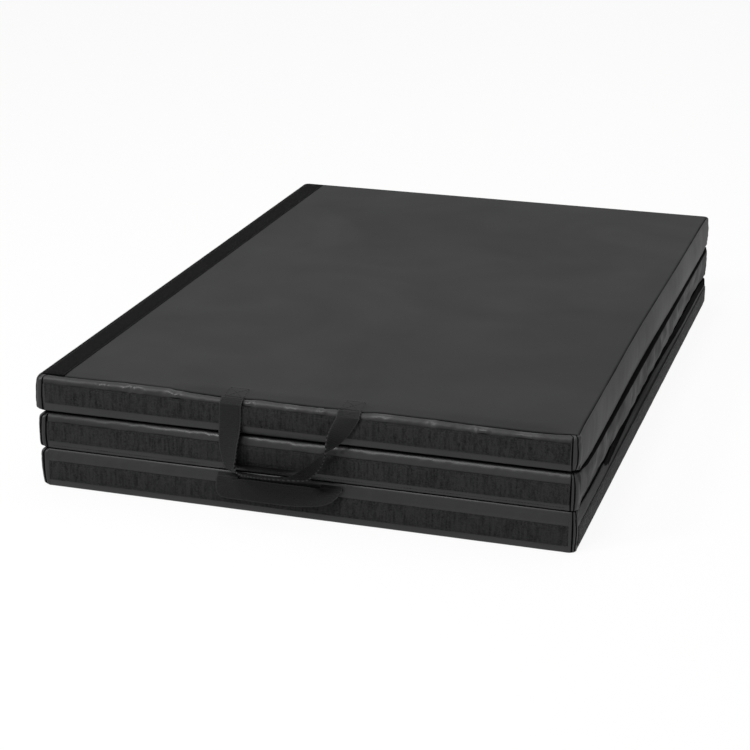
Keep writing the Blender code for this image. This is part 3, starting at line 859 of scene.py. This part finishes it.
def makeSlab(panel):
    low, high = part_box(f"{panel}_foam_core")
    low, high = Vector(low), Vector(high)
    size = high - low - Vector((2 * slab["inset"], 2 * slab["inset"], 2 * slab["skinGap"]))
    place = Matrix.Translation((low + high) / 2) @ Matrix.Diagonal((*size, 1))
    bm = bmesh.new()
    bmesh.ops.create_cube(bm, size=1.0, matrix=place)
    bmesh.ops.bevel(bm, geom=bm.edges[:], offset=slab["corner"], offset_type="OFFSET", segments=3,
                    profile=0.5, affect="EDGES", material=-1)
    obj = newPiece(f"{panel}_foam_slab", bm, f"{panel}_panel", (foam,), (f"{panel}_foam_core",))


for panel in panels:
    makeSlab(panel)
print("foam slabs made")


# hook and loop tapes

tape = {
    "selvedge": 2.2 * mm,
    "selvedgeHeight": 0.55 * mm,
    "pileHeight": 1.25 * mm,
    "cell": 2.2 * mm,
    "rows": 14,
    "stitchLength": 3.0 * mm,
    "stitchThick": 0.55 * mm,
    "stitchPitch": 4.4 * mm,
    "stitchInset": 1.3 * mm,
}


def tapePlace(kind, low, high, u, v, h):
    # u along the tape, v across it, h out from what it is sewn to
    mx, my, mz = [(a + b) / 2 for a, b in zip(low, high)]
    if kind == "front":
        return Vector((mx + u, -halfDeep - h, mz + v))
    if kind == "back":
        return Vector((mx - u, halfDeep + h, mz + v))
    if kind == "end":
        return Vector((halfWide + h, my + u, mz + v))
    return Vector((mx - v, my + u, stackHigh + h))


def makeTape(name, kind, node, body, mat):
    low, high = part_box(node)
    dims = [b - a for a, b in zip(low, high)]
    length = max(dims)
    width = sorted(dims)[1]
    bm = newGrid(round(length / tape["cell"]), tape["rows"])
    seed = sum(ord(c) for c in name) * 0.01
    for v in bm.verts:
        u = v.co.x * length / 2
        across = v.co.y * width / 2
        edge = min(width / 2 - abs(across), length / 2 - abs(u))
        lift = ease((edge - tape["selvedge"] * 0.7) / (1.2 * mm))
        h = tape["selvedgeHeight"] + (tape["pileHeight"] - tape["selvedgeHeight"]) * lift
        h += lift * 0.12 * mm * ripple(u, across, seed, 5 * mm)
        h += 0.12 * mm * ripple(u, seed, 0.0, 40 * mm)
        across += 0.3 * mm * ripple(u, seed + 9, 0.0, 60 * mm)
        v.co = tapePlace(kind, low, high, u, across, h)
    border = [e for e in bm.edges if e.is_boundary]
    skirt = bmesh.ops.extrude_edge_only(bm, edges=border)["geom"]
    outward = tapePlace(kind, low, high, 0, 0, 1) - tapePlace(kind, low, high, 0, 0, 0)
    for v in [g for g in skirt if isinstance(g, bmesh.types.BMVert)]:
        v.co -= outward * 0.8 * mm
    back = [g for g in skirt if isinstance(g, bmesh.types.BMEdge) and g.is_boundary]
    bmesh.ops.edgeloop_fill(bm, edges=back)
    faceOut(bm)
    obj = newPiece(name, bm, body, (mat,), (node,))
    obj.data.set_sharp_from_angle(angle=math.radians(60))
    rows = []
    for sign in (-1, 1):
        v = sign * (width / 2 - tape["stitchInset"])
        count = int((length - 6 * mm) / tape["stitchPitch"])
        start = -count * tape["stitchPitch"] / 2
        for i in range(count):
            u = start + (i + 0.5) * tape["stitchPitch"]
            place, ahead = [tapePlace(kind, low, high, at, v, tape["selvedgeHeight"]) for at in (u, u + 1)]
            rows.append((place, ahead - place, outward))
    return rows


def makeStitches(name, stitches, body, length, thick):
    # one short rounded length of thread, copied to every place and half sunk in what it holds
    shape = bmesh.new()
    bmesh.ops.create_uvsphere(shape, u_segments=8, v_segments=5, radius=1.0,
                              matrix=Matrix.Rotation(math.pi / 2, 4, "Y"))
    points = [v.co.copy() for v in shape.verts]
    single = bpy.data.meshes.new("singleStitch")
    shape.to_mesh(single)
    shape.free()
    bm = bmesh.new()
    for _ in stitches:
        bm.from_mesh(single)
    bpy.data.meshes.remove(single)
    spots = iter(bm.verts)
    for place, along, out in stitches:
        along, out = along.normalized(), out.normalized()
        turn = Matrix((along, out.cross(along), out)).transposed()
        lean = Matrix.Rotation(math.radians(stitchRandom.uniform(-5, 5)), 3, out)
        size = Vector((length / 2 * stitchRandom.uniform(0.92, 1.06), thick / 2, thick * 0.45))
        for point in points:
            next(spots).co = place + lean @ turn @ (point * size)
    newPiece(name, bm, body, (thread,))


tapeStitches = {panel: [] for panel in panels}
for panel in panels:
    for side, hold, mat in (("front", "hook", hookTape), ("back", "loop", loopTape)):
        tapeStitches[panel] += makeTape(f"{panel}_{side}_tape", side, f"{panel}_{side}_{hold}_strip",
                                        f"{panel}_panel", mat)
tapeStitches["top"] += makeTape("top_end_tape", "top", "top_end_loop_strip", "top_panel", loopTape)
tapeStitches["bottom"] += makeTape("bottom_end_tape", "end", "bottom_end_hook_strip", "bottom_panel",
                                   endHookTape)
for panel in panels:
    makeStitches(f"{panel}_tape_stitches", tapeStitches[panel], f"{panel}_panel", tape["stitchLength"],
                 tape["stitchThick"])
print("tapes made")


# hinge webs

hingeWeb = {"thickness": 0.6 * mm, "bulge": 0.3 * mm, "reach": 14 * mm, "endTuck": 3.0 * mm,
            "endLength": 25 * mm, "columns": 220}


def makeHingeWeb(name, side, gap):
    lowerNode, upperNode = f"{name}_hinge_lower_leaf", f"{name}_hinge_upper_leaf"
    lowA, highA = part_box(lowerNode)
    lowB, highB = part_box(upperNode)
    half = (highA[1] - lowA[1]) / 2
    zLow = (lowA[2] + highA[2]) / 2
    zHigh = (lowB[2] + highB[2]) / 2
    axisX = side * foldX
    route = [(hingeWeb["reach"], zLow), (9 * mm, zLow), (5 * mm, zLow), (2.5 * mm, zLow),
             (1 * mm, zLow - 0.05 * mm), (-0.2 * mm, zLow + 0.1 * mm),
             (-hingeWeb["bulge"], (zLow + zHigh) / 2)]
    route += [(x, zLow + zHigh - z) for x, z in reversed(route[:-1])]
    bm = newGrid(hingeWeb["columns"], len(route) - 1)
    for v in bm.verts:
        along = v.co.x * half
        inward, z = route[round((v.co.y + 1) / 2 * (len(route) - 1))]
        wave = 0.25 * mm * ripple(along, side, 0.0, 22 * mm) * ease((3 * mm - inward) / (4 * mm))
        tuck = hingeWeb["endTuck"] * fade(half - abs(along), 0, hingeWeb["endLength"])
        v.co = (axisX - side * (inward + wave + tuck), along, z + gapLift(gap, axisX, along))
    faceOut(bm)
    # the webs use the black, matte vinyl: painted shade in the gaps between the panels
    obj = newPiece(f"{name}_hinge_web", bm, None, (paintedShadeVinyl,), (lowerNode, upperNode))
    addModifier(obj, "thickness", "SOLIDIFY", thickness=hingeWeb["thickness"], offset=0.0,
                use_even_offset=True)
    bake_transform(obj)


makeHingeWeb("left", -1, "low")
makeHingeWeb("right", 1, "high")
print("hinge webs made")


# webbing handles

handle = {"thickness": 1.5 * mm, "edge": 0.45 * mm, "width": 25 * mm, "acrossCells": 8, "steps": 6,
          "tab": 30 * mm}

# rungs from the left leg to the right one: outer and inner selvedge, each as x, distance from the front wall
# and height, in millimetres
topRungs = [
    (-88.0, 2.7, 120.9, -63.2, 2.7, 120.9), (-88.3, 2.9, 105.0, -63.5, 3.2, 105.0),
    (-88.7, 3.2, 90.0, -64.2, 6.0, 90.5), (-88.5, 3.2, 76.0, -65.2, 11.0, 77.8),
    (-85.9, 3.3, 62.0, -65.0, 16.0, 67.5), (-82.4, 3.5, 52.0, -64.8, 21.0, 58.8),
    (-74.2, 3.6, 46.6, -60.4, 24.5, 53.9), (-57.8, 3.6, 45.6, -50.0, 26.3, 52.8),
    (-39.0, 3.6, 45.6, -36.1, 27.2, 52.8), (-22.2, 3.7, 46.0, -19.3, 27.2, 53.2),
    (-8.3, 3.9, 48.6, 3.0, 25.6, 54.2), (2.1, 4.5, 56.0, 17.1, 24.0, 55.8),
    (13.5, 5.4, 65.0, 28.6, 24.2, 67.2), (22.9, 6.2, 74.0, 35.8, 26.0, 79.2),
    (31.8, 5.4, 82.5, 38.0, 26.2, 90.0), (45.6, 3.8, 92.2, 36.9, 19.0, 102.6),
    (57.8, 3.0, 106.0, 38.6, 9.0, 113.0), (67.0, 2.7, 120.9, 41.8, 2.7, 120.9),
]
bottomRungs = [
    (-92.4, 3.2, 38.0, -68.4, 3.2, 38.0), (-92.9, 3.6, 33.5, -71.3, 4.1, 37.3),
    (-92.8, 4.0, 27.0, -72.6, 4.7, 37.2), (-91.8, 4.2, 20.2, -72.6, 4.9, 37.4),
    (-86.5, 4.3, 16.0, -71.0, 5.0, 38.0), (-75.0, 4.4, 15.1, -67.0, 5.1, 39.2),
    (-57.2, 4.6, 15.1, -57.2, 5.2, 40.2), (-37.6, 5.2, 15.2, -37.6, 5.6, 40.4),
    (-18.0, 6.2, 15.6, -18.0, 6.2, 40.6), (1.5, 7.4, 17.0, 0.6, 7.2, 41.2),
    (15.2, 8.4, 19.2, 10.3, 7.8, 41.6), (27.0, 9.0, 21.8, 17.6, 7.4, 41.0),
    (36.3, 8.8, 25.6, 21.5, 6.2, 40.0), (43.1, 7.4, 30.8, 23.4, 4.8, 38.9),
    (48.3, 3.2, 38.0, 24.2, 3.2, 38.0),
]


def wallPoint(x, out, z):
    return Vector((x * mm, -halfDeep - out * mm, z * mm))


def sewnEnd(xOuter, xInner, seam, stop):
    # a strap's end, from under the skin out through the seam and down
    route = [(-5.2 - handle["tab"] / mm, seam - 1.9), (-12.0, seam - 1.9)] + stop
    return [(xOuter, out, z, xInner, out, z) for out, z in route]


def smoothRoute(points, steps):
    route = []
    last = len(points) - 1
    for i in range(last):
        p0, p1, p2, p3 = points[max(i - 1, 0)], points[i], points[i + 1], points[min(i + 2, last)]
        for k in range(steps):
            t = k / steps
            route.append(0.5 * (2 * p1 + (p2 - p0) * t + (2 * p0 - 5 * p1 + 4 * p2 - p3) * t * t
                                + (3 * p1 - p0 - 3 * p2 + p3) * t ** 3))
    route.append(points[last])
    return route


def makeStrap(name, rungs):
    first = smoothRoute([wallPoint(*rung[:3]) for rung in rungs], handle["steps"])
    second = smoothRoute([wallPoint(*rung[3:]) for rung in rungs], handle["steps"])
    lengths = [0.0]
    for i in range(1, len(first)):
        step = ((first[i] + second[i]) / 2 - (first[i - 1] + second[i - 1]) / 2).length
        lengths.append(lengths[-1] + step)
    bm = newGrid(len(first) - 1, handle["acrossCells"])
    uvLayer = bm.loops.layers.uv.new("UVMap")
    spots = {}
    for v in bm.verts:
        i = round((v.co.x + 1) / 2 * (len(first) - 1))
        w = (v.co.y + 1) / 2
        spots[v] = (lengths[i], w)
        v.co = first[i].lerp(second[i], w)
    for f in bm.faces:
        for loop in f.loops:
            s, w = spots[loop.vert]
            loop[uvLayer].uv = (w * handle["width"], s)
    faceOut(bm)
    nodes = [f"{name}_{part}" for part in ("strap", "left_end", "right_end")]
    obj = newPiece(f"{name}_webbing", bm, None, (webbing, paintedShadeInnerWebbing), nodes)
    # the inner shell gets the darker webbing, painted shade
    addModifier(obj, "thickness", "SOLIDIFY", thickness=handle["thickness"], offset=0.0, material_offset=1)
    addModifier(obj, "softEdges", "BEVEL", width=handle["edge"], segments=2, limit_method="ANGLE",
                angle_limit=math.radians(50))
    return obj


topEnds = [(-8.8, 124.7), (-7.3, 126.0), (-5.2, 126.6), (-2.8, 125.6), (-0.6, 124.2), (1.5, 122.6)]
topRungs = sewnEnd(-88.0, -63.2, 127.3, topEnds) + topRungs + sewnEnd(67.0, 41.8, 127.3, topEnds)[::-1]
bottomEnds = [(-6.5, 42.2), (-3.2, 42.2), (-1.2, 41.9), (0.3, 40.8), (1.6, 40.0)]
bottomRungs = (sewnEnd(-92.4, -68.4, 44.0, bottomEnds) + bottomRungs
               + sewnEnd(48.3, 24.2, 44.5, bottomEnds)[::-1])
topStrap = makeStrap("top_handle", topRungs)
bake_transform(topStrap)
bottomStrap = makeStrap("bottom_handle", bottomRungs)
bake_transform(bottomStrap)
print("handles made")


# stitched boxes over the sewn strap ends, and the top stitching of the hems

boxStitch = {"length": 2.6 * mm, "pitch": 3.3 * mm, "thick": 0.8 * mm, "front": -442.5 * mm,
             "back": -421.5 * mm, "spans": ((-86.5 * mm, -64.8 * mm), (43.6 * mm, 65.2 * mm))}
hemStitch = {"thick": 0.65 * mm, "reach": 286 * mm, "out": 449.3 * mm, "height": 47.8 * mm}


def topHeight(x, y):
    # the play side's height near the front, where the tabs lift it
    inset = y + halfDeep
    return stackHigh + edgeLift("top", True, x, y) * rimShare(inset) + tabLift(x, inset)


def stitchLine(a, b, out, height=None):
    count = max(1, round((b - a).length / boxStitch["pitch"]))
    line = []
    for i in range(count):
        place = a.lerp(b, (i + 0.5) / count)
        if height:
            place.z = height(place.x, place.y)
        line.append((place, b - a, out))
    return line


def boxedCross(x0, x1, y0, y1):
    up = Vector((0, 0, 1))
    a, b, c, d = Vector((x0, y0, 0)), Vector((x1, y0, 0)), Vector((x1, y1, 0)), Vector((x0, y1, 0))
    lines = []
    for p, q in ((a, b), (b, c), (c, d), (d, a), (a, c), (b, d)):
        lines += stitchLine(p, q, up, topHeight)
    return lines


topBoxes = []
for x0, x1 in boxStitch["spans"]:
    topBoxes += boxedCross(x0, x1, boxStitch["front"], boxStitch["back"])
makeStitches("top_handle_box_stitches", topBoxes, "top_panel", boxStitch["length"], boxStitch["thick"])

hemStitches = []
for side in (-1, 1):
    start, end = [Vector((x, side * hemStitch["out"], 0)) for x in (-hemStitch["reach"], hemStitch["reach"])]
    hemStitches += stitchLine(start, end, Vector((0, side, 0)),
                              lambda x, y: hemStitch["height"] + gapLift("low", x, y) * 0.9)
makeStitches("middle_hem_stitches", hemStitches, "middle_panel", boxStitch["length"], hemStitch["thick"])
print("stitches made")


# floor, light and camera

studio = {
    "key": ((-1.35, -1.85, 2.0), (0, -0.2, 0.08), 0.6, 32.0),
    "glint": ((-0.15, -1.5, 2.2), (0, -0.4, 0.08), 0.45, 22.0),
    "overhead": ((0.2, 0.6, 2.8), (0, 0, 0.08), 2.2, 34.0),
    "world": 0.35,
    "floorGlow": 0.92,
}
camera = {"lens": 96.586, "sensor": 36.0, "place": (0.651, -2.3116, 0.8637),
          "turn": (70.4315, -0.3995, 17.103)}


def areaLight(name, place, target, size, power):
    data = bpy.data.lights.new(name, "AREA")
    data.shape = "SQUARE"
    data.size = size
    data.energy = power
    lamp = bpy.data.objects.new(name, data)
    scene.collection.objects.link(lamp)
    lamp.location = place
    lamp.rotation_mode = "QUATERNION"
    lamp.rotation_quaternion = (Vector(target) - Vector(place)).to_track_quat("-Z", "Y")


for lampName in ("key", "glint", "overhead"):
    areaLight(lampName, *studio[lampName])


def mixSeen(tree, kinds, share, plain, white, output):
    # rays of these kinds see the white shader, and all others the plain one
    mixer = addNode(tree, "MixShader")
    pathInfo = addNode(tree, "LightPath")
    seen = pathInfo.outputs["Is Camera Ray"]
    for kind in kinds:
        seen = calc("MAXIMUM", seen, pathInfo.outputs[f"Is {kind} Ray"])
    sources = (calc("MULTIPLY", seen, share), plain.outputs[0], white.outputs[0])
    for source, socket in zip(sources, mixer.inputs):
        link(source, socket)
    link(mixer.outputs[0], output.inputs["Surface"])


bm = bmesh.new()
bmesh.ops.create_grid(bm, x_segments=4, y_segments=4, size=6.0, matrix=Matrix.Translation((0, 0, -0.0003)))
floorMat, tree, floorShader, _ = newMaterial("paleFloor", 0.9, 0.5)
floorShader.inputs["Base Color"].default_value = (0.8, 0.8, 0.8, 1)
glow = addNode(tree, "Emission", Color=(1, 1, 1, 1), Strength=1.0)
mixSeen(tree, ("Glossy",), studio["floorGlow"], floorShader, glow, tree.nodes["Material Output"])
floor = newPiece("floor", bm, None, (floorMat,), smooth=False)

world = bpy.data.worlds.new("studioWorld")
scene.world = world
world.use_nodes = True
tree = world.node_tree
skyLight = tree.nodes["Background"]
skyLight.inputs["Color"].default_value = (1, 1, 1, 1)
skyLight.inputs["Strength"].default_value = studio["world"]
whiteSky = addNode(tree, "Background", Color=(1, 1, 1, 1), Strength=1.0)
mixSeen(tree, ("Glossy", "Transmission"), 1.0, skyLight, whiteSky, tree.nodes["World Output"])

cameraData = bpy.data.cameras.new("photoCamera")
cameraData.lens = camera["lens"]
cameraData.sensor_width = camera["sensor"]
photoCamera = bpy.data.objects.new("photoCamera", cameraData)
scene.collection.objects.link(photoCamera)
photoCamera.location = camera["place"]
photoCamera.rotation_euler = [math.radians(a) for a in camera["turn"]]
scene.camera = photoCamera
scene.view_settings.view_transform = "Standard"
print("stage made")
